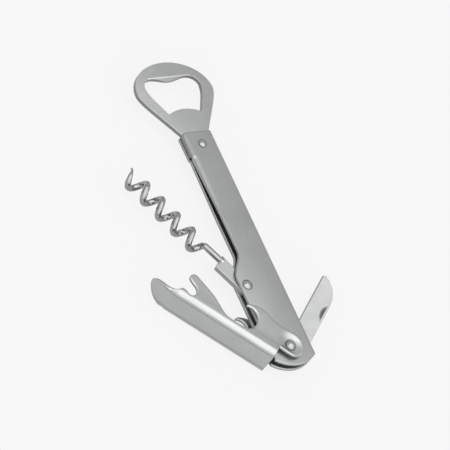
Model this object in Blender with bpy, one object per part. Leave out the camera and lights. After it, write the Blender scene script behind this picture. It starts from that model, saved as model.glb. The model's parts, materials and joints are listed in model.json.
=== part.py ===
"""Waiter's friend corkscrew in folded and stamped stainless steel.

A folded sheet handle carries a crown-cap opener riveted in its top end, a wire worm
on a forged shank, a folded two-plate lever and a folding foil knife.
Lengths are in metres. The handle lies along X, the worm and the lever swing out on
the +Y side, the knife on the -Y side, and every hinge pin stands along Z.
"""
import bpy
import bmesh
import numpy as np
from math import acos, asin, atan2, ceil, cos, hypot, pi, radians, sin, sqrt
from mathutils import Matrix, Vector

# Clearances
RUNNING_GAP = 0.0002          # between faces that turn on each other, and round pins
SEAT_GAP = 0.0002             # between a rivet head and the sheet it holds
EAR_GAP = 0.0003              # between the lever's dished ears and the handle
CUT_OVERRUN = 0.004           # how far a cutter runs past what it cuts

# Handle: one sheet folded into a narrow channel, open towards the worm
HANDLE_SHEET = 0.0011
SHANK_THICKNESS = 0.0022      # flat forged foot of the worm, which sets the channel's gap
HANDLE_BACK = 0.0122          # from the lever pin's axis to the folded back
HANDLE_TOP = 0.1042           # from the lever pin's axis to the top end
HANDLE_BELLY = 0.0092         # from the lever pin's axis to the front edge of the lower half
HANDLE_RECESS = 0.0027        # the same beside the worm
HANDLE_BOTTOM = 0.0082        # reach of the rounded bottom end past the lever pin
BACK_CORNER_RISE = 0.0051     # how far the back corner of the bottom end stays above its tip
FRONT_CORNER_RISE = 0.0032
FOLD_RADIUS = 0.0016          # outer radius of the two bends along the back
TOP_CORNER_RADIUS = 0.0012
SLOPE_FOOT = 0.0345           # the front edge leaves the belly here
SLOPE_HEAD = 0.0470           # and reaches the recess here
LIP_WIDTH = 0.0020            # the front edges beside the worm turn in over this width
LIP_OPEN = 0.0640             # where the lips stand straight, as wide as the channel
LIP_GAP = 0.0005              # between the lips where they have drawn together
LIP_SPREAD = 0.0016           # over this length they spread again, round the opener's tang

# Crown-cap opener: a stamped plate with a tang between the handle's sides.
# Its lengths run from the shoulder, where the plate widens out of the handle's end.
OPENER_THICKNESS = 0.0020
OPENER_EDGE_RADIUS = 0.0003   # stamped edges, rounded by tumbling
OPENER_OFFSET = 0.00015       # the head stands this much off the handle's middle, to the worm's side
HEAD_LENGTH = 0.0346
HEAD_CENTRE = 0.0206
HEAD_HALF_WIDTH = 0.0192
FLANK_LENGTH = 0.0121         # the straight flank runs into the round head here
FLANK_HALF_WIDTH = 0.0151
SHOULDER_HALF_WIDTH = 0.0069
TANG_LENGTH = 0.0119
TANG_SLANT = 0.0012
MOUTH_FOOT = 0.0099           # corners of the mouth's lower edge
MOUTH_FOOT_HALF_WIDTH = 0.0083
MOUTH_FOOT_BOW = 0.0020       # the lower edge bows into the mouth by this
MOUTH_HALF_WIDTH = 0.0141
MOUTH_WIDEST = 0.0231
MOUTH_TOP = 0.0274
LIP_TOOTH = 0.0015            # the lifting lip bows into the mouth by this
LIP_TOOTH_HALF_WIDTH = 0.0090
LIP_BEVEL_DEPTH = 0.0013
LIP_BEVEL_RUN = 0.0019

# Rivets
LEVER_PIN_RADIUS = 0.0015
LEVER_HEAD_RADIUS = 0.0025
LEVER_HEAD_HEIGHT = 0.0013
WORM_PIN_X = 0.0308
WORM_PIN_Y = 0.0058
WORM_PIN_RADIUS = 0.0013
WORM_HEAD_RADIUS = 0.0023
WORM_HEAD_HEIGHT = 0.0009
TANG_RIVET_DROP = 0.0061      # below the opener's shoulder
TANG_RIVET_RADIUS = 0.0011
TANG_HEAD_RADIUS = 0.0019
TANG_HEAD_HEIGHT = 0.0007

# Worm: round wire wound right-handed, its foot forged flat
WORM_OPEN_ANGLE = 26.2        # degrees from folded
WIRE_RADIUS = 0.0014
COIL_RADIUS = 0.0031          # to the middle of the wire
COIL_OFFSET = 0.0023          # coil axis beside the pin
COIL_PITCH = 0.0087
COIL_TURNS = 4.9
COIL_START = 0.0239           # from the pin to the first turn
TIP_RADIUS = 0.0005
WIRE_DRIFT = 0.0004           # the straight wire leaves the shank this much nearer its back
SHANK_END_FRONT = 0.0140
SHANK_END_BACK = 0.0156
SHANK_FRONT = 0.0040
SHANK_BACK = 0.0027
SHANK_EYE_RADIUS = 0.0033

# Lever: one sheet folded into a wide channel, dished in at its pin
LEVER_OPEN_ANGLE = 44.5       # degrees from the handle's line
LEVER_SHEET = 0.0012
LEVER_WIDTH = 0.0140
LEVER_REACH = 0.0116          # from the pin's axis to the outer face of the spine
LEVER_LENGTH = 0.0515         # from the pin to where the spine starts to curl
LEVER_BEND_RADIUS = 0.0025
SPINE_START = 0.0045
TONGUE_CURL_RADIUS = 0.0133
TONGUE_RUN = 0.0107           # how far the curled tongue runs on past the spine
TONGUE_FLAT = 0.0036          # the spine's bends have flattened out this far along the tongue
EAR_RADIUS = 0.0058
DISH_DEPTH = 0.0010
DISH_FLOOR_SPACE = 0.0003     # flat floor left round the rivet's head
DISH_SPREAD = 0.0006          # the dish's wall would level out this far past the ear's edge
PINCH_START = 0.0480          # the side plates start to draw together here
PINCH_END = 0.0080
PINCH_DEPTH = 0.0060          # and over this depth from the spine's bends

# Foil knife
KNIFE_OPEN_ANGLE = -49.0      # degrees from the handle's line
KNIFE_THICKNESS = 0.0012
KNIFE_LENGTH = 0.0477         # from the pin to the tip
KNIFE_EDGE = 0.0014           # cutting edge, beside the line through the pin
KNIFE_BACK = 0.0072
KNIFE_EYE_RADIUS = 0.0042
KNIFE_GRIND_START = 0.0150
KNIFE_EDGE_THICKNESS = 0.0006  # before the cutting edge is ground
KNIFE_BEVEL_WIDTH = 0.0006
KNIFE_EDGE_FLAT = 0.0001
NICK_CENTRE = 0.0294
NICK_LENGTH = 0.0124
NICK_DEPTH = 0.00045
NICK_INSET = 0.0009           # from the knife's back to the nail nick
NICK_TILT = 9.0
WASHER_THICKNESS = 0.0004
WASHER_RADIUS = 0.0030
SLOT_END_SPACE = 0.0018       # between the closed knife's tip and the end of its slot

# Fineness of the round shapes
ROUND_STEPS = 32
BEND_STEPS = 4
WIRE_SIDES = 10
TURN_STEPS = 22
CURVE_STEPS = 5
LEVER_ROWS = 16
EDGE_STEPS = 2

# Sizes that follow from the ones above
CHANNEL_GAP = SHANK_THICKNESS + RUNNING_GAP + RUNNING_GAP
HANDLE_HALF = CHANNEL_GAP / 2 + HANDLE_SHEET
EAR_INNER = HANDLE_HALF + EAR_GAP
EAR_OUTER = EAR_INNER + LEVER_SHEET
LEVER_HALF = LEVER_WIDTH / 2
DISH_FLOOR_RADIUS = LEVER_HEAD_RADIUS + DISH_FLOOR_SPACE
SHOULDER = HANDLE_TOP + SEAT_GAP
OPENER_AXIS = (HANDLE_RECESS - HANDLE_BACK) / 2 + OPENER_OFFSET
TANG_BACK = HANDLE_BACK - HANDLE_SHEET - SEAT_GAP
TANG_END = SHOULDER - TANG_LENGTH
TANG_RIVET_X = SHOULDER - TANG_RIVET_DROP
LIP_CLOSED = TANG_END - LIP_SPREAD / 2

# Outlines, as shares of the sizes that they follow
HOOK_SHARES = [  # of the lever's length and reach, from the spine's end to the valley
    (0.998, 0.88), (1.000, 0.78), (0.985, 0.70), (0.955, 0.70), (0.915, 0.775), (0.888, 0.755),
    (0.868, 0.62), (0.868, 0.45), (0.890, 0.30), (0.940, 0.18), (0.964, 0.08), (0.965, -0.05),
    (0.945, -0.15), (0.918, -0.165), (0.880, -0.10), (0.808, 0.03), (0.728, 0.18), (0.657, 0.39),
    (0.610, 0.58), (0.570, 0.675), (0.515, 0.70), (0.440, 0.70), (0.375, 0.65),
]
EAR_TIP_SHARES = [  # of the lever's length and reach, round the notch and the ear's tip
    (0.335, 0.38), (0.318, 0.08), (0.327, -0.18), (0.362, -0.36), (0.405, -0.42), (0.442, -0.385),
    (0.455, -0.36), (0.452, -0.43), (0.425, -0.53), (0.375, -0.62), (0.320, -0.655), (0.265, -0.60),
    (0.205, -0.51), (0.145, -0.475), (0.085, -0.485),
]
EAR_REST_SHARE = 0.92         # the ear's lower edge, as a share of the ear's radius
TONGUE_SHARES = [  # of the way along the tongue, and of the lever's half width there
    (0.0, 1.00), (0.15, 0.93), (0.30, 0.87), (0.45, 0.79), (0.60, 0.69), (0.73, 0.57), (0.84, 0.44),
    (0.93, 0.30), (0.98, 0.17), (1.0, 0.07),
]
KNIFE_POINT_SHARES = [  # of the knife's length and of its back's distance from the pin
    (0.670, -1.00), (0.760, -0.975), (0.835, -0.885), (0.912, -0.655), (0.966, -0.34), (0.996, -0.06),
    (1.000, 0.08), (0.990, 0.17),
]


def clear_scene():
    """Start from an empty scene."""
    for item in list(bpy.data.objects):
        bpy.data.objects.remove(item, do_unlink=True)


def steel(name, colour, roughness):
    """A bare stainless finish."""
    material = bpy.data.materials.new(name)
    material.use_nodes = True
    shader = material.node_tree.nodes["Principled BSDF"]
    shader.inputs["Base Color"].default_value = (*colour, 1)
    shader.inputs["Metallic"].default_value = 1
    shader.inputs["Roughness"].default_value = roughness
    return material


def add_object(name, mesh, material=None, parent=None):
    """Link a mesh into the scene as a named piece."""
    piece = bpy.data.objects.new(name, mesh)
    bpy.context.scene.collection.objects.link(piece)
    if material:
        mesh.materials.append(material)
    piece.parent = parent
    return piece


def mesh_from(bm, name, smooth_angle=None):
    """Close a bmesh into a mesh with its faces pointing out."""
    bmesh.ops.recalc_face_normals(bm, faces=bm.faces)
    mesh = bpy.data.meshes.new(name)
    bm.to_mesh(mesh)
    bm.free()
    if smooth_angle:
        mesh.shade_smooth()
        mesh.set_sharp_from_angle(angle=radians(smooth_angle))
    return mesh


def smooth_step(value):
    """Ease from 0 to 1 as the value goes from 0 to 1."""
    value = min(1, max(0, value))
    return value * value * (3 - 2 * value)


def arc(centre, radius, start, end, steps):
    """Points along a circle's arc, angles in degrees."""
    angles = np.linspace(radians(start), radians(end), steps + 1)
    return [(centre[0] + radius * cos(a), centre[1] + radius * sin(a)) for a in angles]


def arc_through(first, middle, last, steps):
    """Points along the circle that passes three points."""
    (ax, ay), (bx, by), (cx, cy) = first, middle, last
    twice = 2 * (ax * (by - cy) + bx * (cy - ay) + cx * (ay - by))
    squares = [ax * ax + ay * ay, bx * bx + by * by, cx * cx + cy * cy]
    x = (squares[0] * (by - cy) + squares[1] * (cy - ay) + squares[2] * (ay - by)) / twice
    y = (squares[0] * (cx - bx) + squares[1] * (ax - cx) + squares[2] * (bx - ax)) / twice
    start = atan2(ay - y, ax - x)
    sweep = (atan2(cy - y, cx - x) - start) % (2 * pi)
    if (atan2(by - y, bx - x) - start) % (2 * pi) > sweep:
        sweep -= 2 * pi
    radius = hypot(ax - x, ay - y)
    angles = [start + sweep * i / steps for i in range(steps + 1)]
    return [(x + radius * cos(a), y + radius * sin(a)) for a in angles]


def bend_between(start, corner, end, steps):
    """A curve from start to end that heads for the corner at both ends."""
    shares = [i / steps for i in range(steps + 1)]
    return [tuple((1 - t) ** 2 * a + 2 * t * (1 - t) * b + t * t * c for a, b, c in zip(start, corner, end))
            for t in shares]


def smooth_curve(points, steps=CURVE_STEPS):
    """A smooth curve through a short list of points."""
    ends = [points[0]] + list(points) + [points[-1]]
    curve = []
    for p0, p1, p2, p3 in zip(ends, ends[1:], ends[2:], ends[3:]):
        for i in range(steps):
            t = i / steps
            weights = (-t + 2 * t * t - t ** 3, 2 - 5 * t * t + 3 * t ** 3,
                       t + 4 * t * t - 3 * t ** 3, t ** 3 - t * t)
            curve.append(tuple(sum(w * p[k] for w, p in zip(weights, (p0, p1, p2, p3))) / 2
                               for k in range(2)))
    return curve + [tuple(points[-1])]


def scaled(shares, length, height):
    """Turn an outline of shares into real sizes."""
    return [(x * length, y * height) for x, y in shares]


def prism(name, outline, low, high):
    """Extrude a closed outline from one level to another."""
    bm = bmesh.new()
    base = bm.faces.new([bm.verts.new((x, y, low)) for x, y in outline])
    grown = bmesh.ops.extrude_face_region(bm, geom=[base])
    raised = [v for v in grown["geom"] if isinstance(v, bmesh.types.BMVert)]
    bmesh.ops.translate(bm, vec=(0, 0, high - low), verts=raised)
    return mesh_from(bm, name)


def turned(name, profile, steps=ROUND_STEPS):
    """Spin a profile of (radius, height) points about the Z axis into a closed solid."""
    bm = bmesh.new()
    verts = [bm.verts.new((r, 0, z)) for r, z in profile]
    edges = [bm.edges.new(pair) for pair in zip(verts, verts[1:])]
    bmesh.ops.spin(bm, geom=verts + edges, cent=(0, 0, 0), axis=(0, 0, 1), angle=2 * pi, steps=steps,
                   use_merge=True)
    bmesh.ops.remove_doubles(bm, verts=bm.verts, dist=TIP_RADIUS / 100)
    return mesh_from(bm, name, 35)


def boolean(piece, mesh, operation, place=None):
    """Cut a piece with a hidden tool, join the tool to it, or keep only what they share."""
    tool = add_object(f"{piece.name}_{operation.lower()}_{len(piece.modifiers)}", mesh, parent=piece)
    tool.hide_render = True
    tool.display_type = "WIRE"
    if place:
        tool.matrix_local = place
    step = piece.modifiers.new(operation.title(), "BOOLEAN")
    step.object = tool
    step.operation = operation
    step.solver = "EXACT"
    return tool


def drill(piece, x, y, radius, half_height):
    """Put a round hole through a piece along Z."""
    reach = half_height + CUT_OVERRUN
    hole = prism("hole", arc((0, 0), radius, 0, 360 - 360 / ROUND_STEPS, ROUND_STEPS - 1), -reach, reach)
    boolean(piece, hole, "DIFFERENCE", Matrix.Translation((x, y, 0)))


def round_edges(piece, radius, least_angle):
    """Round the edges that turn by more than an angle, given in degrees."""
    step = piece.modifiers.new("Rounded edges", "BEVEL")
    step.width = radius
    step.segments = EDGE_STEPS
    step.limit_method = "ANGLE"
    step.angle_limit = radians(least_angle)


def folded_sheet(name, rows, thickness, material, tongue=(), inset=0):
    """Skin a grid of points, with a tongue that carries on its middle, and thicken it as rolled sheet."""
    bm = bmesh.new()
    grid = [[bm.verts.new(point) for point in row] for row in rows]
    strip = [grid[-1][inset:len(grid[-1]) - inset]]
    strip += [[bm.verts.new(point) for point in row] for row in tongue]
    for lower, upper in list(zip(grid, grid[1:])) + list(zip(strip, strip[1:])):
        for a, b, c, d in zip(lower, lower[1:], upper[1:], upper):
            bm.faces.new((a, b, c, d))
    sheet = add_object(name, mesh_from(bm, name, 35), material)
    thick = sheet.modifiers.new("Sheet thickness", "SOLIDIFY")
    thick.thickness = thickness
    thick.offset = 0
    thick.use_even_offset = True
    return sheet


def channel_profile(edge_stops, back, half, bend_radius):
    """Half of a channel's section as (depth, offset): down one side, round its bend, half the back."""
    bend_stop = back - bend_radius
    side = [(depth, half) for depth in edge_stops]
    bend = [(bend_stop + bend_radius * sin(a), half - bend_radius + bend_radius * cos(a))
            for a in np.linspace(0, pi / 2, BEND_STEPS + 1)]
    return side + bend + [(back, 0)]


def handle_front(x):
    """Height of the handle's front edge at a place along it: belly, slope, then recess."""
    share = smooth_step((x - SLOPE_FOOT) / (SLOPE_HEAD - SLOPE_FOOT))
    return HANDLE_BELLY + (HANDLE_RECESS - HANDLE_BELLY) * share


def lip_turn(x):
    """How far the front edges turn in at a place along the handle."""
    side = HANDLE_HALF - HANDLE_SHEET
    closed = side - LIP_GAP / 2
    over_tang = side - OPENER_THICKNESS / 2 - SEAT_GAP / 4
    if x < LIP_CLOSED:
        return closed * max(0, (x - LIP_OPEN) / (LIP_CLOSED - LIP_OPEN))
    return closed + (over_tang - closed) * smooth_step((x - LIP_CLOSED) / LIP_SPREAD)


def build_handle(material):
    """The folded handle: channel, turned-in lips, side outline, knife slot and rivet holes."""
    half = HANDLE_HALF - HANDLE_SHEET / 2
    back = HANDLE_BACK - HANDLE_SHEET / 2
    bend = FOLD_RADIUS - HANDLE_SHEET / 2
    stops = [-HANDLE_BELLY - CUT_OVERRUN / 4]
    stops += [-HANDLE_RECESS + LIP_WIDTH * share for share in np.linspace(-0.25, 1, 6)]
    section = channel_profile(stops, back, half, bend)
    whole = section + [(depth, -offset) for depth, offset in reversed(section[:-1])]
    start = -HANDLE_BOTTOM - CUT_OVERRUN / 2
    end = HANDLE_TOP + CUT_OVERRUN / 2
    stations = [start] + list(np.linspace(LIP_OPEN, LIP_CLOSED, 7))
    stations += [LIP_CLOSED + LIP_SPREAD * share for share in (0.25, 0.5, 0.75, 1)] + [end]
    rows = []
    for x in stations:
        row = []
        for depth, offset in whole:
            side = (offset > 0) - (offset < 0)
            turned_share = min(1.1, max(0, 1 - (HANDLE_RECESS + depth) / LIP_WIDTH))
            row.append((x, -depth, offset - side * lip_turn(x) * turned_share ** 2))
        rows.append(row)
    handle = folded_sheet("handle_channel", rows, HANDLE_SHEET, material)
    tip = (-HANDLE_BOTTOM, (HANDLE_BELLY - HANDLE_BACK) / 2 + HANDLE_SHEET * 2)
    back_corner = (-HANDLE_BOTTOM + BACK_CORNER_RISE, -HANDLE_BACK - CUT_OVERRUN / 8)
    front_corner = (-HANDLE_BOTTOM + FRONT_CORNER_RISE, HANDLE_BELLY)
    slope = np.linspace(SLOPE_FOOT, SLOPE_HEAD, 12)
    r = TOP_CORNER_RADIUS
    outline = arc_through(front_corner, tip, back_corner, 14)
    outline += [(HANDLE_TOP - r, -HANDLE_BACK - CUT_OVERRUN / 8)]
    outline += arc((HANDLE_TOP - r, -HANDLE_BACK + r), r, -90, 0, 4)
    outline += arc((HANDLE_TOP - r, HANDLE_RECESS - r), r, 0, 90, 4)
    outline += [(x, handle_front(x)) for x in reversed(slope)]
    reach = HANDLE_HALF + CUT_OVERRUN
    boolean(handle, prism("side outline", outline, -reach, reach), "INTERSECT")
    slot_end = KNIFE_LENGTH + SLOT_END_SPACE
    slot = [(-HANDLE_BOTTOM - CUT_OVERRUN, -HANDLE_BACK - CUT_OVERRUN),
            (slot_end, -HANDLE_BACK - CUT_OVERRUN),
            (slot_end, -HANDLE_BACK + HANDLE_SHEET + RUNNING_GAP),
            (-HANDLE_BOTTOM - CUT_OVERRUN, -HANDLE_BACK + HANDLE_SHEET + RUNNING_GAP)]
    boolean(handle, prism("knife slot", slot, -CHANNEL_GAP / 2, CHANNEL_GAP / 2), "DIFFERENCE")
    for x, y, radius in ((0, 0, LEVER_PIN_RADIUS), (WORM_PIN_X, WORM_PIN_Y, WORM_PIN_RADIUS),
                         (TANG_RIVET_X, OPENER_AXIS, TANG_RIVET_RADIUS)):
        drill(handle, x, y, radius + RUNNING_GAP, HANDLE_HALF)
    return handle


def head_half_outline():
    """One side of the opener head, from the shoulder round to the far end, as (x, half width)."""
    slope = (FLANK_HALF_WIDTH - SHOULDER_HALF_WIDTH) / FLANK_LENGTH
    turn = (FLANK_LENGTH + (HEAD_HALF_WIDTH - FLANK_HALF_WIDTH) / slope, HEAD_HALF_WIDTH)
    blend = bend_between((FLANK_LENGTH, FLANK_HALF_WIDTH), turn, (HEAD_CENTRE, HEAD_HALF_WIDTH), 8)
    depth = HEAD_LENGTH - HEAD_CENTRE
    sweep = [radians(a) for a in np.linspace(0, 90, 14)]
    head = [(HEAD_CENTRE + depth * sin(a), HEAD_HALF_WIDTH * cos(a)) for a in sweep]
    return [(0, SHOULDER_HALF_WIDTH)] + blend + head[1:-1]


def mouth_half_outline():
    """One side of the mouth, from its lower corner to the start of the lifting lip."""
    corner = (MOUTH_FOOT, MOUTH_FOOT_HALF_WIDTH)
    widest = (MOUTH_WIDEST, MOUTH_HALF_WIDTH)
    rise = MOUTH_TOP - MOUTH_WIDEST
    inward = MOUTH_HALF_WIDTH - LIP_TOOTH_HALF_WIDTH
    crown = [(MOUTH_WIDEST + rise * sin(a), MOUTH_HALF_WIDTH - inward * (1 - cos(a)))
             for a in np.linspace(pi / 12, pi / 2, 6)]
    knee = (MOUTH_FOOT + (MOUTH_WIDEST - MOUTH_FOOT) * 2 / 3,
            MOUTH_FOOT_HALF_WIDTH + (MOUTH_HALF_WIDTH - MOUTH_FOOT_HALF_WIDTH) * 4 / 5)
    return smooth_curve([corner, knee, widest], 5) + crown


def mirrored_outline(half, start_line, end_line):
    """Close a half outline about the opener's middle line: out on one side and back on the other."""
    return half + end_line + [(x, -y) for x, y in reversed(half)] + start_line


def build_opener(material):
    """The stamped crown-cap opener: head, tang, mouth and pressed lifting lip."""
    back = -TANG_BACK - OPENER_AXIS
    tang = [(0, back), (-TANG_LENGTH, back), (TANG_SLANT - TANG_LENGTH, SHOULDER_HALF_WIDTH)]
    outline = mirrored_outline(head_half_outline(), tang, [(HEAD_LENGTH, 0)])
    top = OPENER_THICKNESS / 2
    opener = add_object("opener_plate", prism("opener_plate", outline, -top, top), material)
    opener.location = (SHOULDER, OPENER_AXIS, 0)
    foot = [(MOUTH_FOOT + MOUTH_FOOT_BOW * (1 - t * t), MOUTH_FOOT_HALF_WIDTH * t)
            for t in np.linspace(-1, 1, 11)[1:-1]]
    lip = [(MOUTH_TOP - LIP_TOOTH * cos(pi / 2 * t) ** 2, -LIP_TOOTH_HALF_WIDTH * t)
           for t in np.linspace(-1, 1, 15)[1:-1]]
    mouth = mirrored_outline(mouth_half_outline(), foot, lip)
    boolean(opener, prism("mouth", mouth, -top - CUT_OVERRUN, top + CUT_OVERRUN), "DIFFERENCE")
    tilt = atan2(LIP_BEVEL_DEPTH, LIP_BEVEL_RUN)
    chord = MOUTH_TOP - LIP_TOOTH + LIP_BEVEL_RUN
    width = LIP_TOOTH_HALF_WIDTH + LIP_TOOTH
    wedge = [(-2 * LIP_BEVEL_RUN, -width), (0, -width), (0, width), (-2 * LIP_BEVEL_RUN, width)]
    place = Matrix.Translation((chord, 0, top)) @ Matrix.Rotation(-tilt, 4, "Y")
    boolean(opener, prism("lip bevel", wedge, 0, CUT_OVERRUN), "DIFFERENCE", place)
    round_edges(opener, OPENER_EDGE_RADIUS, 50)
    drill(opener, -TANG_RIVET_DROP, 0, TANG_RIVET_RADIUS + RUNNING_GAP, top)
    return opener


def build_rivet(name, x, y, pin_radius, head_radius, head_height, seat, material):
    """A solid rivet: a pin with a domed head at each end."""
    dome = (head_radius ** 2 + head_height ** 2) / (2 * head_height)
    rim = asin(head_radius / dome)
    crown = [(dome * sin(a), seat + head_height - dome * (1 - cos(a))) for a in np.linspace(0, rim, 7)]
    lower = [(r, -z) for r, z in crown]
    profile = lower + [(pin_radius, -seat), (pin_radius, seat)] + list(reversed(crown))
    rivet = add_object(name, turned(name, profile), material)
    rivet.location = (x, y, 0)
    return rivet


def least_gap(path):
    """Smallest clear space between turns of the wire, left out where it only follows itself."""
    points = np.array(path)
    steps = np.linalg.norm(np.diff(points, axis=0), axis=1)
    run = np.concatenate([[0], np.cumsum(steps)])
    apart = np.linalg.norm(points[:, None] - points[None], axis=2)
    along = np.abs(run[:, None] - run[None])
    return apart[along > 2 * pi * COIL_RADIUS / 3].min() - 2 * WIRE_RADIUS


def build_worm(material):
    """The worm: straight wire, five right-handed turns, ground point and flat forged shank."""
    steps = round(COIL_TURNS * TURN_STEPS)
    coil = []
    for i in range(steps + 1):
        turn = COIL_TURNS * i / steps
        angle = pi + 2 * pi * turn
        coil.append((COIL_START + COIL_PITCH * turn, COIL_OFFSET + COIL_RADIUS * cos(angle),
                     COIL_RADIUS * sin(angle)))
    lead_start = SHANK_END_FRONT - WIRE_RADIUS / 3
    lead_end = COIL_START - WIRE_RADIUS / 2
    lead = []
    for share in np.linspace(0, 1, 7):
        drift = WIRE_DRIFT * (1 - smooth_step(share))
        lead.append((lead_start + (lead_end - lead_start) * share, COIL_OFFSET - COIL_RADIUS - drift, 0))
    path = lead + coil[1:]
    print("least gap between the worm's turns in mm", round(least_gap(path) * 1000, 2))
    curve = bpy.data.curves.new("worm wire", "CURVE")
    curve.dimensions = "3D"
    curve.bevel_depth = WIRE_RADIUS
    curve.bevel_resolution = WIRE_SIDES // 2 - 2
    curve.use_fill_caps = True
    spline = curve.splines.new("POLY")
    spline.points.add(len(path) - 1)
    ground = TURN_STEPS // 2
    for i, point in enumerate(path):
        left = len(path) - 1 - i
        taper = min(1, sin(pi / 2 * (left / ground)) if left < ground else 1)
        spline.points[i].co = (*point, 1)
        spline.points[i].radius = max(TIP_RADIUS / WIRE_RADIUS, taper)
    wire = bpy.data.objects.new("worm wire", curve)
    bpy.context.scene.collection.objects.link(wire)
    wire_mesh = bpy.data.meshes.new_from_object(wire.evaluated_get(bpy.context.evaluated_depsgraph_get()))
    bpy.data.objects.remove(wire, do_unlink=True)
    eye = arc((0, 0), SHANK_EYE_RADIUS, 95, 265, 14)
    outline = eye + [(SHANK_EYE_RADIUS, -SHANK_BACK), (SHANK_END_BACK, -SHANK_BACK),
                     (SHANK_END_FRONT, SHANK_FRONT)]
    thick = SHANK_THICKNESS / 2
    worm = add_object("worm", prism("worm", outline, -thick, thick), material)
    boolean(worm, wire_mesh, "UNION")
    drill(worm, 0, 0, WORM_PIN_RADIUS + RUNNING_GAP, thick)
    worm.location = (WORM_PIN_X, WORM_PIN_Y, 0)
    worm.rotation_euler = (0, 0, radians(WORM_OPEN_ANGLE))
    return worm


def ear_offset(along, depth):
    """Distance of the lever's side plate from the middle plane: wide at the spine, dished at the pin."""
    wide = LEVER_HALF - LEVER_SHEET / 2
    narrow = EAR_INNER + LEVER_SHEET / 2 + DISH_DEPTH
    lengthwise = smooth_step((PINCH_START - along) / (PINCH_START - PINCH_END))
    crosswise = smooth_step((LEVER_REACH - LEVER_BEND_RADIUS - depth) / PINCH_DEPTH)
    radius = hypot(along, depth)
    dish = 1 - smooth_step((radius - DISH_FLOOR_RADIUS) / (EAR_RADIUS + DISH_SPREAD - DISH_FLOOR_RADIUS))
    return wide - (wide - narrow) * lengthwise * crosswise - DISH_DEPTH * dish


def side_row(along, section, plain):
    """One cross-section of the lever where it has side plates: bends and back, plus the pinched sides."""
    row = []
    for i, (depth, offset) in enumerate(section):
        on_side = i < plain or i >= len(section) - plain
        side = (offset > 0) - (offset < 0)
        row.append((along, depth, side * ear_offset(along, depth) if on_side else offset))
    return row


def tongue_row(way, width_share, folded):
    """One cross-section of the tongue: the bends flatten out while the spine curls inward."""
    radius = TONGUE_CURL_RADIUS - LEVER_SHEET / 2
    angle = way * asin(TONGUE_RUN / TONGUE_CURL_RADIUS)
    flat = smooth_step(radius * angle / TONGUE_FLAT)
    back = LEVER_REACH - LEVER_SHEET / 2
    half = (LEVER_HALF - LEVER_SHEET / 2) * width_share
    row = []
    for i, (depth, offset) in enumerate(folded):
        even = half * (1 - 2 * i / (len(folded) - 1))
        z = offset * width_share * (1 - flat) + even * flat
        sunk = radius + (depth - back) * (1 - flat)
        row.append((LEVER_LENGTH + sunk * sin(angle), back - radius + sunk * cos(angle), z))
    return row


def build_lever(material):
    """The lever: folded channel with hooked side plates, dished ears and a curled tongue."""
    back = LEVER_REACH - LEVER_SHEET / 2
    half = LEVER_HALF - LEVER_SHEET / 2
    bend = LEVER_BEND_RADIUS - LEVER_SHEET / 2
    top = LEVER_REACH * max(-y for _, y in EAR_TIP_SHARES) + CUT_OVERRUN / 3
    stops = list(np.linspace(-top, back - bend - LEVER_SHEET, LEVER_ROWS))
    section = channel_profile(stops, back, half, bend)
    whole = section + [(depth, -offset) for depth, offset in reversed(section[:-1])]
    folded = whole[len(stops):-len(stops)]
    start = -EAR_RADIUS - CUT_OVERRUN / 3
    stations = list(np.linspace(start, EAR_RADIUS + DISH_SPREAD, LEVER_ROWS))
    stations += list(np.linspace(EAR_RADIUS + DISH_SPREAD, LEVER_LENGTH, LEVER_ROWS))[1:]
    rows = [side_row(along, whole, len(stops)) for along in stations]
    tongue = [tongue_row(way, width_share, folded) for way, width_share in TONGUE_SHARES[1:]]
    lever = folded_sheet("lever_channel", rows, LEVER_SHEET, material, tongue, len(stops))
    far = LEVER_LENGTH + TONGUE_RUN + CUT_OVERRUN
    low = LEVER_REACH + CUT_OVERRUN / 2
    rest = EAR_REST_SHARE * EAR_RADIUS
    rest_angle = 180 / pi * asin(EAR_REST_SHARE)
    outline = [(SPINE_START, low), (far, low), (far, 0),
               (LEVER_LENGTH + LEVER_SHEET / 2, LEVER_REACH - LEVER_BEND_RADIUS - LEVER_SHEET / 2)]
    outline += smooth_curve(scaled(HOOK_SHARES, LEVER_LENGTH, LEVER_REACH), 3)
    outline += smooth_curve(scaled(EAR_TIP_SHARES, LEVER_LENGTH, LEVER_REACH), 3)
    outline += arc((0, 0), EAR_RADIUS, -90, -180 - rest_angle, 14)
    outline += [(SPINE_START, rest)]
    reach = LEVER_HALF + CUT_OVERRUN
    boolean(lever, prism("side outline", outline, -reach, reach), "INTERSECT")
    drill(lever, 0, 0, LEVER_PIN_RADIUS + RUNNING_GAP, LEVER_HALF)
    lever.rotation_euler = (0, 0, radians(LEVER_OPEN_ANGLE))
    return lever


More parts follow.
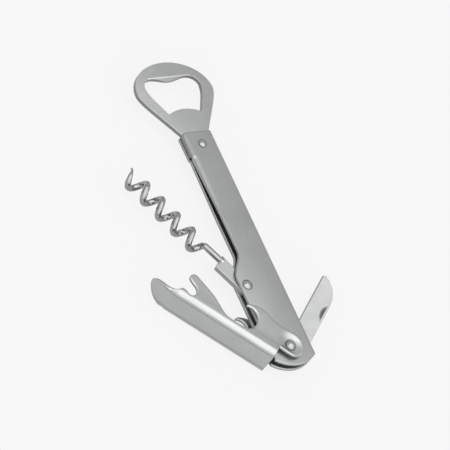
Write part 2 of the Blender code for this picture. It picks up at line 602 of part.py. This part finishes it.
def build_knife(material):
    """The foil knife: eye, straight edge, curved back, ground faces and nail nick."""
    neck = KNIFE_EYE_RADIUS + KNIFE_BACK
    point = scaled(KNIFE_POINT_SHARES, KNIFE_LENGTH, KNIFE_BACK)
    outline = smooth_curve(point, 3) + [(point[-1][0] - KNIFE_EDGE / 2, KNIFE_EDGE)]
    outline += smooth_curve([(neck, KNIFE_EDGE), (neck * 3 / 4, KNIFE_EDGE * 5 / 4),
                             (KNIFE_EYE_RADIUS * sin(pi / 4), KNIFE_EYE_RADIUS * cos(pi / 4))], 4)
    outline += arc((0, 0), KNIFE_EYE_RADIUS, 55, 250, 16)
    outline += [(neck * 3 / 4, -KNIFE_BACK)]
    thick = KNIFE_THICKNESS / 2
    knife = add_object("knife_blade", prism("knife_blade", outline, -thick, thick), material)
    depth = KNIFE_BACK + KNIFE_EDGE
    angle = atan2((KNIFE_THICKNESS - KNIFE_EDGE_THICKNESS) / 2, depth)
    grind = [(0, 0), (KNIFE_LENGTH, 0), (KNIFE_LENGTH, 2 * depth), (0, 2 * depth)]
    for side in (1, -1):
        place = Matrix.Translation((KNIFE_GRIND_START, -KNIFE_BACK, side * thick))
        place = place @ Matrix.Rotation(-side * angle, 4, "X")
        low, high = (0, CUT_OVERRUN) if side > 0 else (-CUT_OVERRUN, 0)
        boolean(knife, prism("grind", grind, low, high), "DIFFERENCE", place)
    bevel_angle = atan2((KNIFE_EDGE_THICKNESS - KNIFE_EDGE_FLAT) / 2, KNIFE_BEVEL_WIDTH)
    for side in (1, -1):
        place = Matrix.Translation((KNIFE_GRIND_START, KNIFE_EDGE - KNIFE_BEVEL_WIDTH,
                                    side * KNIFE_EDGE_THICKNESS / 2))
        place = place @ Matrix.Rotation(-side * bevel_angle, 4, "X")
        low, high = (0, CUT_OVERRUN) if side > 0 else (-CUT_OVERRUN, 0)
        boolean(knife, prism("edge bevel", grind, low, high), "DIFFERENCE", place)
    cutter = (NICK_LENGTH ** 2 / 4 + NICK_DEPTH ** 2) / (2 * NICK_DEPTH)
    disc = arc((0, -cutter), cutter, 0, 360 - 360 / 96, 95)
    place = Matrix.Translation((NICK_CENTRE, NICK_INSET - KNIFE_BACK, thick - NICK_DEPTH))
    place = place @ Matrix.Rotation(radians(NICK_TILT) - pi / 2, 4, "X")
    boolean(knife, prism("nail nick", disc, 0, CUT_OVERRUN), "DIFFERENCE", place)
    drill(knife, 0, 0, LEVER_PIN_RADIUS + RUNNING_GAP, thick)
    knife.rotation_euler = (0, 0, radians(KNIFE_OPEN_ANGLE))
    return knife


def build_washer(name, side, material):
    """A thin spacer between the knife and one side of the handle."""
    middle = side * (KNIFE_THICKNESS + CHANNEL_GAP) / 4
    low = middle - WASHER_THICKNESS / 2
    high = middle + WASHER_THICKNESS / 2
    hole = LEVER_PIN_RADIUS + RUNNING_GAP
    profile = [(hole, low), (WASHER_RADIUS, low), (WASHER_RADIUS, high), (hole, high), (hole, low)]
    return add_object(name, turned(name, profile), material)


def stand_on_origin(pieces):
    """Move the assembly so that its box stands centred on the origin."""
    graph = bpy.context.evaluated_depsgraph_get()
    corners = []
    for piece in pieces:
        solid = piece.evaluated_get(graph)
        corners += [solid.matrix_world @ vertex.co for vertex in solid.to_mesh().vertices]
        solid.to_mesh_clear()
    corners = np.array(corners)
    low, high = corners.min(axis=0), corners.max(axis=0)
    shift = Vector((-(low[0] + high[0]) / 2, -(low[1] + high[1]) / 2, -low[2]))
    for piece in pieces:
        piece.location += shift
    return shift, high - low


def main():
    clear_scene()
    satin = steel("satin stainless", (0.42, 0.43, 0.43), 0.38)
    polished = steel("polished stainless", (0.62, 0.63, 0.63), 0.15)
    pieces = [
        build_handle(satin),
        build_opener(satin),
        build_rivet("lever_rivet", 0, 0, LEVER_PIN_RADIUS, LEVER_HEAD_RADIUS, LEVER_HEAD_HEIGHT,
                    EAR_OUTER + SEAT_GAP, polished),
        build_rivet("worm_rivet", WORM_PIN_X, WORM_PIN_Y, WORM_PIN_RADIUS, WORM_HEAD_RADIUS,
                    WORM_HEAD_HEIGHT, HANDLE_HALF + SEAT_GAP, polished),
        build_rivet("tang_rivet", TANG_RIVET_X, OPENER_AXIS, TANG_RIVET_RADIUS, TANG_HEAD_RADIUS,
                    TANG_HEAD_HEIGHT, HANDLE_HALF + SEAT_GAP, polished),
        build_worm(polished),
        build_lever(satin),
        build_knife(polished),
        build_washer("knife_washer_near", 1, satin),
        build_washer("knife_washer_far", -1, satin),
    ]
    shift, size = stand_on_origin(pieces)
    print("box in mm", [round(float(v) * 1000, 2) for v in size])
    print("lever pin at", [round(v, 6) for v in shift])
    print("worm pin at", [round(v, 6) for v in shift + Vector((WORM_PIN_X, WORM_PIN_Y, 0))])


main()
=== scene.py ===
# %% [markdown]
# # A waiter's corkscrew in stainless steel
# This lesson dresses a finished model: a folded steel handle, a crown cap opener, a wire
# worm, a folded lever and a foil knife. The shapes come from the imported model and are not
# changed. What we make here is the finish of each piece of metal, the paper that the tool
# lies on, the room that it mirrors, and the camera.

# %% Load the model
import bpy
import json
from collections import namedtuple
from math import acos, cos, degrees, pi, radians, sin, sqrt
from mathutils import Matrix, Vector


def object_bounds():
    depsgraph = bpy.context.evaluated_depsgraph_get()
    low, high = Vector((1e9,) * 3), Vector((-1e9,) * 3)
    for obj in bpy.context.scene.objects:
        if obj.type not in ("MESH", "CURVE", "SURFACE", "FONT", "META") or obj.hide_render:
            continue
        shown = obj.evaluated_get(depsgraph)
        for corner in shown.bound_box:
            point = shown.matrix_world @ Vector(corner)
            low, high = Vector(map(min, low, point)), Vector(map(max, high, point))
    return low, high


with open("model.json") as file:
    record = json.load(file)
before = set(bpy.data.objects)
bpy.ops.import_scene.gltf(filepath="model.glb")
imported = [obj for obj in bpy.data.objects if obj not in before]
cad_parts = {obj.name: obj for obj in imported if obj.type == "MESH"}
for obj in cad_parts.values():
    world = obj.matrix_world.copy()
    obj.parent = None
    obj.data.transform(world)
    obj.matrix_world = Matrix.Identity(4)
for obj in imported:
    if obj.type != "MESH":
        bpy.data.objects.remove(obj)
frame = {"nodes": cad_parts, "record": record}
model_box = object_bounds()
MM = 0.001
pins = {joint["name"]: Vector(joint["pos_m"]) for joint in frame["record"]["behaviour"]["joints"]}
print("pieces:", sorted(frame["nodes"]))

# %% [markdown]
# ## Two small tools
# Colours are written as the hex codes a designer would pick, and turned into the linear
# values that a renderer adds up. The second function adds one node, with its settings and
# its links, so that every material below reads as a short list of steps. We could set each
# node up by hand in the shader editor, but a script keeps all the steels alike.

# %% Colour and node tools
def linear(code, share=1.0):
    """Linear red, green, blue and alpha for an sRGB hex code such as #C8C9C8, times a share."""
    parts = [int(code[i:i + 2], 16) / 255 for i in (1, 3, 5)]
    lines = [p / 12.92 if p <= 0.04045 else ((p + 0.055) / 1.055) ** 2.4 for p in parts]
    return tuple(min(1.0, value * share) for value in lines) + (1.0,)


def add_node(tree, kind, inputs=None, **settings):
    """One shader node with its settings; an input takes a value or another node's output."""
    made = tree.nodes.new("ShaderNode" + kind)
    for name, value in settings.items():
        setattr(made, name, value)
    for name, value in (inputs or {}).items():
        if isinstance(value, bpy.types.NodeSocket):
            tree.links.new(value, made.inputs[name])
        else:
            made.inputs[name].default_value = value
    return made


def new_material(name):
    """An empty node material and its tree."""
    material = bpy.data.materials.new(name)
    material.use_nodes = True
    material.node_tree.nodes.clear()
    return material, material.node_tree


FACTOR, COLOUR_A, COLOUR_B, COLOUR_OUT = 0, 6, 7, 2  # places of the Mix node's colour sockets
print("paper white in linear light:", [round(v, 3) for v in linear("#F7F7F7")])

# %% [markdown]
# ## Stainless steel, trait by trait
# All ten pieces are stainless steel, but each has its own finish. We build one steel out of
# small traits, and give every piece its own measures. The first trait is the grain. Satin
# steel is covered in short scratches that all run one way. Real ones are a few hundredths of
# a millimetre wide, too fine to show in this picture, so they are drawn about ten times as
# wide. Broad, faint patches lie over them, where the piece was tumbled a little longer.

# %% Grain and patches
SATIN_GRAIN_MM = (5.0, 0.25)
GRAIN_DETAIL, GRAIN_ROUGHNESS = 3.0, 0.6
PATCH_DETAIL, PATCH_ROUGHNESS = 2.0, 0.5


def brushed(tree, place, grain_mm, turn, patch_mm):
    """Scratches of a length and width, turned about Z, and the same with broad patches added."""
    along, across = (size * MM for size in grain_mm)
    laid = add_node(tree, "Mapping", {"Vector": place, "Rotation": (0, 0, turn),
                                      "Scale": (along, across, across)}, vector_type="TEXTURE")
    grain = add_node(tree, "TexNoise", {"Vector": laid.outputs[0], "Scale": 1.0, "Detail": GRAIN_DETAIL,
                                        "Roughness": GRAIN_ROUGHNESS})
    broad = add_node(tree, "TexNoise", {"Vector": place, "Scale": 1 / (patch_mm * MM),
                                        "Detail": PATCH_DETAIL, "Roughness": PATCH_ROUGHNESS})
    both = add_node(tree, "Math", {0: grain.outputs[0], 1: broad.outputs[0]}, operation="ADD")
    return grain.outputs[0], both.outputs[0]


print("scratches on the satin sheet in mm:", *SATIN_GRAIN_MM)

# %% [markdown]
# ### Rounded edges
# Stamped and folded pieces are tumbled until their edges are round and worn. The edge colour
# is changed too: partly wear, and partly a painted highlight for the light that a rounded
# edge catches; on the knife the edges are darker instead, a painted shade. We could bevel the
# mesh, but the model's shape is fixed. The Bevel node rounds only the shading. It is used
# twice: a small radius finds the edges, and a wider one spreads the light over a fold's bend,
# as the real, larger bend does.

# %% Edges and bends
EDGE_STARTS, EDGE_FULL = 0.99, 0.85  # cosines of the turn between the rounded and the flat face
BEVEL_SAMPLES = 8


def rounded_edges(tree, edge_mm, bend_mm):
    """The shading normal with its bends rounded, and where the edges are, for wear and painted light."""
    edges = add_node(tree, "Bevel", {"Radius": edge_mm * MM}, samples=BEVEL_SAMPLES)
    bends = add_node(tree, "Bevel", {"Radius": bend_mm * MM}, samples=BEVEL_SAMPLES)
    flat = add_node(tree, "NewGeometry").outputs["Normal"]
    facing = add_node(tree, "VectorMath", {0: edges.outputs[0], 1: flat}, operation="DOT_PRODUCT")
    worn_and_painted_light = add_node(tree, "MapRange", {"Value": facing.outputs["Value"], "From Min": EDGE_STARTS,
                                       "From Max": EDGE_FULL})
    return bends.outputs[0], worn_and_painted_light.outputs[0]


print("an edge is worn from a turn of", round(degrees(acos(EDGE_STARTS))), "degrees")

# %% [markdown]
# ### Marks
# Some places of a piece get a tone of their own. Most of them are painted shade: the darker
# side of a plate, the hollow of the nail nick, a cutting edge, a line beside a bend. On a tool
# that lies flat, such a place is easy to state. It is a layer at some distance from the tool's
# middle plane, or what lies beyond some reach along a direction, or both. Painting a mask
# would do the same, but this stays exact.

# %% Marks on the metal
Mark = namedtuple("Mark", "colour layer_mm direction reach_mm soft_mm", defaults=(None, None, 0.0, 0.3))
MIDDLE_PLANE = pins["lever_pivot"].z


def reach(pin, direction, distance_mm):
    """How far along a direction a point lies, in mm, given its distance from a pin."""
    return pins[pin].dot(direction) / MM + distance_mm


def marked(tree, place, ground, mark):
    """Tint the ground in a mark's layer (its distance, full spread and last trace) beyond its reach."""
    share = 1.0
    if mark.direction is not None:
        along = add_node(tree, "VectorMath", {0: place, 1: mark.direction}, operation="DOT_PRODUCT")
        share = add_node(tree, "MapRange", {"Value": along.outputs["Value"],
                                            "From Min": (mark.reach_mm - mark.soft_mm) * MM,
                                            "From Max": mark.reach_mm * MM}).outputs[0]
    if mark.layer_mm:
        distance, full, trace = (size * MM for size in mark.layer_mm)
        level = add_node(tree, "SeparateXYZ", {0: place}).outputs["Z"]
        from_middle = add_node(tree, "Math", {0: level, 1: MIDDLE_PLANE}, operation="SUBTRACT")
        depth = add_node(tree, "Math", {0: from_middle.outputs[0]}, operation="ABSOLUTE")
        from_layer = add_node(tree, "Math", {0: depth.outputs[0], 1: distance}, operation="SUBTRACT")
        off_layer = add_node(tree, "Math", {0: from_layer.outputs[0]}, operation="ABSOLUTE")
        share = add_node(tree, "MapRange", {"Value": off_layer.outputs[0], "From Min": trace,
                                            "From Max": full, "To Max": share}).outputs[0]
    return add_node(tree, "Mix", {FACTOR: share, COLOUR_A: ground, COLOUR_B: linear(mark.colour)},
                    data_type="RGBA").outputs[COLOUR_OUT]


print("middle plane of the tool in mm:", round(MIDDLE_PLANE / MM, 3))

# %% [markdown]
# ### Corners and crowns
# Where another surface is close, ambient occlusion finds the corner, and the steel's colour
# is darkened there: a painted shade for the corners and gaps between pieces. And no sheet is
# dead flat after stamping: it keeps a crown, a bulge so slight that only its reflections show
# it, as a soft gradient. A height that falls with the square of the distance gives that crown
# to the shading.

# %% Corners and crowns
CORNER_DISTANCE = 1.2 * MM
CORNER_CLOSED, CORNER_OPEN = 0.25, 0.75
CORNER_SAMPLES = 6
NEARLY_FLAT = (0, 0, 5000, 5000)
NO_CROWN_ALONG_Z = 1e6


def painted_corner_shade(tree, colour, corner_shade_share):
    """The colour, down to a share of it where another surface is close: painted shade."""
    sky = add_node(tree, "AmbientOcclusion", {"Distance": CORNER_DISTANCE}, samples=CORNER_SAMPLES)
    kept = add_node(tree, "MapRange", {"Value": sky.outputs["AO"], "From Min": CORNER_CLOSED,
                                       "From Max": CORNER_OPEN, "To Min": corner_shade_share})
    return add_node(tree, "VectorMath", {0: colour, "Scale": kept.outputs[0]}, operation="SCALE").outputs[0]


def crowned(tree, place, normal, crown_mm):
    """The normal of a crown: its middle in x and y, and its radius along x and along y."""
    middle_x, middle_y, radius_x, radius_y = (size * MM for size in crown_mm)
    bulge = (sqrt(2 * radius_x), sqrt(2 * radius_y), NO_CROWN_ALONG_Z)
    from_middle = add_node(tree, "Mapping", {"Vector": place, "Location": (middle_x, middle_y, 0),
                                             "Scale": bulge}, vector_type="TEXTURE")
    fall = add_node(tree, "VectorMath", {0: from_middle.outputs[0], 1: from_middle.outputs[0]},
                    operation="DOT_PRODUCT")
    return add_node(tree, "Bump", {"Height": fall.outputs["Value"], "Strength": 1.0, "Distance": 1.0,
                                   "Normal": normal}, invert=True).outputs[0]


print("corners darken within mm:", round(CORNER_DISTANCE / MM, 2))

# %% [markdown]
# ### One steel from all traits
# Stainless steel is a metal, so its colour is the share of light that it mirrors, and its
# roughness says how much it blurs what it mirrors. The patches vary both a little. The
# scratches are a shallow bump on top of the crown. The index of refraction stays at its
# default, because a metal's colour already says how it mirrors.

# %% Build a steel
DULL_SHARE, BRIGHT_SHARE = 0.93, 1.05
TONE_RANGE = (0.7, 1.3)
ROUGHNESS_RANGE = (0.6, 1.4)
SCRATCH_DEPTH = 0.01 * MM


def steel(name, colour, roughness, grain_mm, turn=0.0, scratch=0.2, patch_mm=14.0, patch=0.05,
          edge_mm=0.25, bend_mm=None, edge_gain=1.25, corner_shade_share=0.6, crown_mm=NEARLY_FLAT, marks=()):
    """Stainless steel with scratches, patches, edges of wear and painted light, marks, painted shade in
    corners and a crown.
    """
    material, tree = new_material(name)
    place = add_node(tree, "TexCoord").outputs["Object"]
    grain, both = brushed(tree, place, grain_mm, turn, patch_mm)
    bends, worn_and_painted_light = rounded_edges(tree, edge_mm, bend_mm or edge_mm)
    rough = add_node(tree, "MapRange", {"Value": both, "From Min": ROUGHNESS_RANGE[0],
                                        "From Max": ROUGHNESS_RANGE[1], "To Min": roughness - patch,
                                        "To Max": roughness + patch})
    tone = add_node(tree, "MapRange", {"Value": both, "From Min": TONE_RANGE[0], "From Max": TONE_RANGE[1]})
    toned = add_node(tree, "Mix", {FACTOR: tone.outputs[0], COLOUR_A: linear(colour, DULL_SHARE),
                                   COLOUR_B: linear(colour, BRIGHT_SHARE)}, data_type="RGBA")
    body = toned.outputs[COLOUR_OUT]
    for mark in marks:
        body = marked(tree, place, body, mark)
    # edge colour: wear and painted highlight; a gain below one, as on the knife, paints shade instead
    edged = add_node(tree, "Mix", {FACTOR: worn_and_painted_light, COLOUR_A: body, COLOUR_B: linear(colour, edge_gain)},
                     data_type="RGBA")
    # painted shade where another surface is close
    shown = painted_corner_shade(tree, edged.outputs[COLOUR_OUT], corner_shade_share)
    bump = add_node(tree, "Bump", {"Height": grain, "Strength": scratch, "Distance": SCRATCH_DEPTH,
                                   "Normal": crowned(tree, place, bends, crown_mm)})
    shader = add_node(tree, "BsdfPrincipled", {"Base Color": shown, "Metallic": 1.0,
                                               "Roughness": rough.outputs[0], "Normal": bump.outputs[0]})
    add_node(tree, "OutputMaterial", {"Surface": shader.outputs[0]})
    return material


def finish(node, material):
    """Put a finish on one of the model's pieces."""
    piece = frame["nodes"][node]
    piece.data.materials.clear()
    piece.data.materials.append(material)
    print(node, "is", material.name)


# %% [markdown]
# ## The handle
# The handle is cold rolled stainless sheet, folded into a channel and tumbled satin. Its
# scratches run along it. It looks mid grey, and lighter towards its open front, because its
# crown turns that side towards the window.

# %% Finish the handle
# The handle's corners get a milder painted shade than the default.
finish("handle_channel", steel("tumbled stainless sheet, handle", "#A0A2A1", roughness=0.36,
                               grain_mm=SATIN_GRAIN_MM, patch_mm=16, bend_mm=0.8, corner_shade_share=0.8,
                               crown_mm=(-8, -14, 1000, 85)))

# %% [markdown]
# ## The opener
# The opener is stamped from thicker plate and tumbled. Its scratches run across it, a little
# aslant. The middle of the plate's thickness, its sheared side, gets a darker mark: partly the
# duller sheared steel, and partly a painted shade for the dark outline that the side shows.

# %% Finish the opener
OPENER_GRAIN_TURN = -0.25
# darker middle of the plate's side: duller sheared steel and painted shade
sheared_side_painted_shade = Mark("#868887", layer_mm=(0, 0.6, 0.85))
finish("opener_plate", steel("stamped and tumbled stainless plate", "#ACAEAD", roughness=0.36,
                             grain_mm=(0.4, 4.0), turn=OPENER_GRAIN_TURN, scratch=0.3, patch_mm=12,
                             edge_gain=1.15, crown_mm=(50, -15, 420, 95), marks=[sheared_side_painted_shade]))

# %% [markdown]
# ## The lever
# The lever is sheet as well, folded over a wide bend that mirrors the window as one long
# bright line. Beside each bend its back gets a thin dark line of painted shade, which stands
# in for the dark border of that reflection, and its edges get a strong painted highlight. The
# lever is open by 44.5 degrees, and its scratches turn with it.

# %% Finish the lever
LEVER_OPEN = radians(44.5)
LEVER_BACK = Vector((-sin(LEVER_OPEN), cos(LEVER_OPEN), 0))
# a thin dark line beside the bend on the back: painted shade
painted_bend_shade = Mark("#8A8C8B", layer_mm=(4.3, 0.1, 0.3), direction=LEVER_BACK,
                 reach_mm=reach("lever_pivot", LEVER_BACK, 10))
finish("lever_channel", steel("tumbled stainless sheet, lever", "#B2B4B3", roughness=0.34,
                              grain_mm=SATIN_GRAIN_MM, turn=LEVER_OPEN, scratch=0.3, edge_mm=0.3,
                              bend_mm=1.4, edge_gain=1.6, marks=[painted_bend_shade]))

# %% [markdown]
# ## The washers
# Two thin washers hold the knife in the middle of the handle. They are blanked from plain
# sheet and hardly show, so an even, fairly rough steel without any direction is enough.

# %% Finish the washers
for side in ("near", "far"):
    finish("knife_washer_" + side, steel("plain stainless washer, " + side, "#A6A7A5", roughness=0.4,
                                         grain_mm=(0.3, 0.3)))

# %% [markdown]
# ## The worm
# The worm is drawn wire, polished so that it slides into a cork, and it mirrors the room in
# small, sharp lights and darks. Its scratches run along it. The flat foot is given a lighter
# colour, and the sides of that foot get a painted shade for the darker floor that they mirror.

# %% Finish the worm
WORM_OPEN = radians(26.2)
WORM_ALONG = Vector((cos(WORM_OPEN), sin(WORM_OPEN), 0))
FOOT_END = reach("worm_pivot", -WORM_ALONG, -14.4)
# a lighter colour on the flat foot
lighter_foot = Mark("#D2D4D2", direction=-WORM_ALONG, reach_mm=FOOT_END + 0.5, soft_mm=0.5)
# darker sides of the foot: painted shade
painted_foot_side_shade = Mark("#9C9E9C", layer_mm=(0, 0.9, 1.05), direction=-WORM_ALONG, reach_mm=FOOT_END)
finish("worm", steel("drawn and polished stainless wire", "#989A98", roughness=0.12, grain_mm=(2.0, 0.10),
                     turn=WORM_OPEN, scratch=0.1, patch_mm=8, patch=0.03, edge_mm=0.3,
                     marks=[lighter_foot, painted_foot_side_shade]))

# %% [markdown]
# ## The knife
# The blade is harder steel, ground across its width and buffed, so it is the brightest
# piece, with faint scratches from back to edge. The pressed nail nick gets a painted shade,
# darkest at its foot, and so do the narrow ground strip of the cutting edge and the blade's
# edges and corners.

# %% Finish the knife
KNIFE_OPEN = radians(-49.0)
KNIFE_BACK = Vector((sin(KNIFE_OPEN), -cos(KNIFE_OPEN), 0))
# painted shade in the nail nick, darkest at its foot
painted_nick_shade = Mark("#8A8C8B", layer_mm=(0, 0.3, 0.46), direction=KNIFE_BACK,
                 reach_mm=reach("knife_pivot", KNIFE_BACK, 3.4))
painted_nick_foot_shade = Mark("#6A6C6B", layer_mm=(0, 0.2, 0.52), direction=KNIFE_BACK,
                 reach_mm=reach("knife_pivot", KNIFE_BACK, 5.0))
# painted shade on the ground strip of the cutting edge
ground_edge_painted_shade = Mark("#A0A2A1", layer_mm=(0, 0.2, 0.29), direction=-KNIFE_BACK,
                   reach_mm=reach("knife_pivot", -KNIFE_BACK, -3.2))
# The blade's edges and corners get a painted shade.
finish("knife_blade", steel("ground and buffed blade steel", "#E2E4E3", roughness=0.24,
                            grain_mm=(0.08, 2.5), turn=KNIFE_OPEN, scratch=0.25, patch_mm=9, patch=0.06,
                            edge_mm=0.3, edge_gain=0.5, corner_shade_share=0.5,
                            marks=[painted_nick_shade, painted_nick_foot_shade, ground_edge_painted_shade]))

# %% [markdown]
# ## The rivets
# The rivets are cold headed and buffed with the tool. Each head is a low dome. A tight
# crown over the head's own middle rounds its shading further, so that it mirrors a light
# spot in the middle and a darker rim, as a small steel dome does.

# %% Finish the rivets
HEAD_CROWN_RADIUS = 6
for pin in ("lever", "worm", "tang"):
    corners = [Vector(corner) / MM for corner in frame["nodes"][pin + "_rivet"].bound_box]
    centre = sum(corners, Vector()) / len(corners)
    head_crown = (centre.x, centre.y, HEAD_CROWN_RADIUS, HEAD_CROWN_RADIUS)
    # Each rivet's head gets painted shade where it meets the sheet.
    finish(pin + "_rivet", steel("buffed stainless rivet, " + pin, "#A0A2A0", roughness=0.2,
                                 grain_mm=(0.3, 0.3), scratch=0.1, patch_mm=2, patch=0.04, edge_mm=0.15,
                                 corner_shade_share=0.55, crown_mm=head_crown))

# %% [markdown]
# ## Floor
# The photograph has a plain, nearly white ground with hardly a shadow. One wide sheet lies
# under the tool. Towards the camera nearly all of its white is its own light, and in the
# steel's reflections half of it. The rest is matt paper, which keeps the tool's soft shadow.
# A brighter lamp would whiten plain paper too, but it would wash out the steel.

# %% Lay the floor
FLOOR_SIZE = 6.0
FLOOR_GAP = 0.05 * MM
PAPER = "#F7F7F7"
WHITE_SEEN = 0.92
WHITE_MIRRORED = 0.5
MATT_PAPER = "#CFCFCF"
FIBRE = 3 * MM
TOOTH_DEPTH = 0.05 * MM
floor_material, tree = new_material("matt white paper")
fibre = add_node(tree, "TexNoise", {"Scale": 1 / FIBRE, "Detail": 2.0})
tooth = add_node(tree, "Bump", {"Height": fibre.outputs[0], "Strength": 0.02, "Distance": TOOTH_DEPTH})
paper = add_node(tree, "BsdfPrincipled", {"Base Color": linear(MATT_PAPER), "Roughness": 0.9,
                                          "Specular IOR Level": 0.1, "Normal": tooth.outputs[0]})
white = add_node(tree, "Emission", {"Color": linear(PAPER), "Strength": 1.0})
ray = add_node(tree, "LightPath")
seen = add_node(tree, "Math", {0: ray.outputs["Is Camera Ray"], 1: WHITE_SEEN}, operation="MULTIPLY")
mirrored = add_node(tree, "Math", {0: ray.outputs["Is Glossy Ray"], 1: ray.outputs["Is Transmission Ray"]},
                    operation="MAXIMUM")
share = add_node(tree, "Math", {0: mirrored.outputs[0], 1: WHITE_MIRRORED, 2: seen.outputs[0]},
                 operation="MULTIPLY_ADD")
blend = add_node(tree, "MixShader", {0: share.outputs[0], 1: paper.outputs[0], 2: white.outputs[0]})
add_node(tree, "OutputMaterial", {"Surface": blend.outputs[0]})
bpy.ops.mesh.primitive_grid_add(x_subdivisions=8, y_subdivisions=8, size=FLOOR_SIZE,
                                location=(0, 0, model_box[0][2] - FLOOR_GAP))
floor = bpy.context.object
floor.name = "floor"
floor.data.materials.append(floor_material)
print("floor at height in mm:", round(floor.location.z / MM, 2))

# %% [markdown]
# ## The room
# Bare steel shows the room around it, so the room is lit as a photographer lights metal: one
# very large soft window above the tool, towards the lever's end, and calm pale walls. A face
# that mirrors the wall looks mid grey, and a bend that mirrors the window shines. Low down
# the wall runs into a horizon, lighter behind the handle's closed back and darker on the
# worm's side, which gives round wire its dark lines. The wall, the horizon and the window
# are written by direction, because nothing of them is near enough to need a place.

# %% Set the world
WALL = 0.80
HORIZON_WORM_SIDE = 0.35
HORIZON_BACK_SIDE = 0.95
HORIZON_TURN = 0.5
WALL_FOOT, WALL_TOP = 0.0, 0.22
WINDOW = 2.05
WINDOW_TOWARDS = Vector((-0.50, 0.20, 0.84)).normalized()
WINDOW_CORE, WINDOW_EDGE = radians(38), radians(70)
world = bpy.data.worlds.new("pale studio")
bpy.context.scene.world = world
world.use_nodes = True
sky = world.node_tree
sky.nodes.clear()
towards = add_node(sky, "TexCoord").outputs["Generated"]
height = add_node(sky, "SeparateXYZ", {0: towards})
horizon = add_node(sky, "MapRange", {"Value": height.outputs["Y"], "From Min": -HORIZON_TURN,
                                     "From Max": HORIZON_TURN, "To Min": HORIZON_BACK_SIDE,
                                     "To Max": HORIZON_WORM_SIDE})
wall = add_node(sky, "MapRange", {"Value": height.outputs["Z"], "From Min": WALL_FOOT, "From Max": WALL_TOP,
                                  "To Min": horizon.outputs[0], "To Max": WALL},
                interpolation_type="SMOOTHSTEP")
nearness = add_node(sky, "VectorMath", {0: towards, 1: WINDOW_TOWARDS}, operation="DOT_PRODUCT")
inside = add_node(sky, "MapRange", {"Value": nearness.outputs["Value"], "From Min": cos(WINDOW_EDGE),
                                    "From Max": cos(WINDOW_CORE)}, interpolation_type="SMOOTHSTEP")
level = add_node(sky, "Mix", {FACTOR: inside.outputs[0], 2: wall.outputs[0], 3: WINDOW}, data_type="FLOAT")
backdrop = add_node(sky, "Background", {"Color": linear("#FFFFFF"), "Strength": level.outputs[0]})
add_node(sky, "OutputWorld", {"Surface": backdrop.outputs[0]})
print("brightness of wall and window:", WALL, WINDOW)

# %% [markdown]
# ## Camera
# The photograph looks down at the open side of the tool from the lever's end, from far
# away, so that parallel edges stay parallel. The directions below are the picture's right
# and up, read from the photograph, and the point is what the picture's middle looks at. An
# orthographic camera would look nearly the same, but such a picture is taken with a long lens.

# %% Place the camera
VIEW_RIGHT = Vector((-0.392, -0.794, 0.465))
VIEW_UP = Vector((0.834, -0.094, 0.543))
LOOK_AT = pins["lever_pivot"] + Vector((51.9, 14.7, 15.9)) * MM
FRAME_WIDTH = 181.4 * MM
LENS = 800
SENSOR = 36
CLIP_START = 0.01

right = VIEW_RIGHT.normalized()
up = (VIEW_UP - right * VIEW_UP.dot(right)).normalized()
back = right.cross(up)
stand = Matrix((right, up, back)).transposed().to_4x4()
stand.translation = LOOK_AT + back * FRAME_WIDTH * LENS / SENSOR
camera = bpy.data.objects.new("camera", bpy.data.cameras.new("camera"))
camera.data.lens = LENS
camera.data.sensor_width = SENSOR
camera.data.clip_start = CLIP_START
camera.matrix_world = stand
bpy.context.scene.collection.objects.link(camera)
bpy.context.scene.camera = camera
print("camera distance in m:", round((camera.location - LOOK_AT).length, 3))

# %% [markdown]
# ## Light
# The room gives most of the light. One soft box straight above adds a faint shadow on the
# paper, and a highlight on the rivets and the wire. Its strength is given as the brightness
# that a mirror would show, where 1 is white paper, and its power follows from its size.

# %% Hang the soft box
def soft_box(name, direction, distance, size, brightness):
    """A square soft light that faces the middle of the tool."""
    lamp = bpy.data.lights.new(name, "AREA")
    lamp.shape = "SQUARE"
    lamp.size = size
    lamp.energy = brightness * pi * size * size
    holder = bpy.data.objects.new(name, lamp)
    holder.location = LOOK_AT + direction.normalized() * distance
    holder.rotation_euler = direction.to_track_quat("Z", "Y").to_euler()
    holder.visible_camera = False
    bpy.context.scene.collection.objects.link(holder)
    print(name, "at", [round(v, 2) for v in holder.location], "power in W:", round(lamp.energy, 2))


soft_box("overhead box", Vector((-0.05, 0.05, 1.0)), distance=0.9, size=0.30, brightness=0.9)

# %% [markdown]
# ## Finish
# Standard colour, so that what we picked is what we see.

# %% Finish
bpy.context.scene.view_settings.view_transform = "Standard"
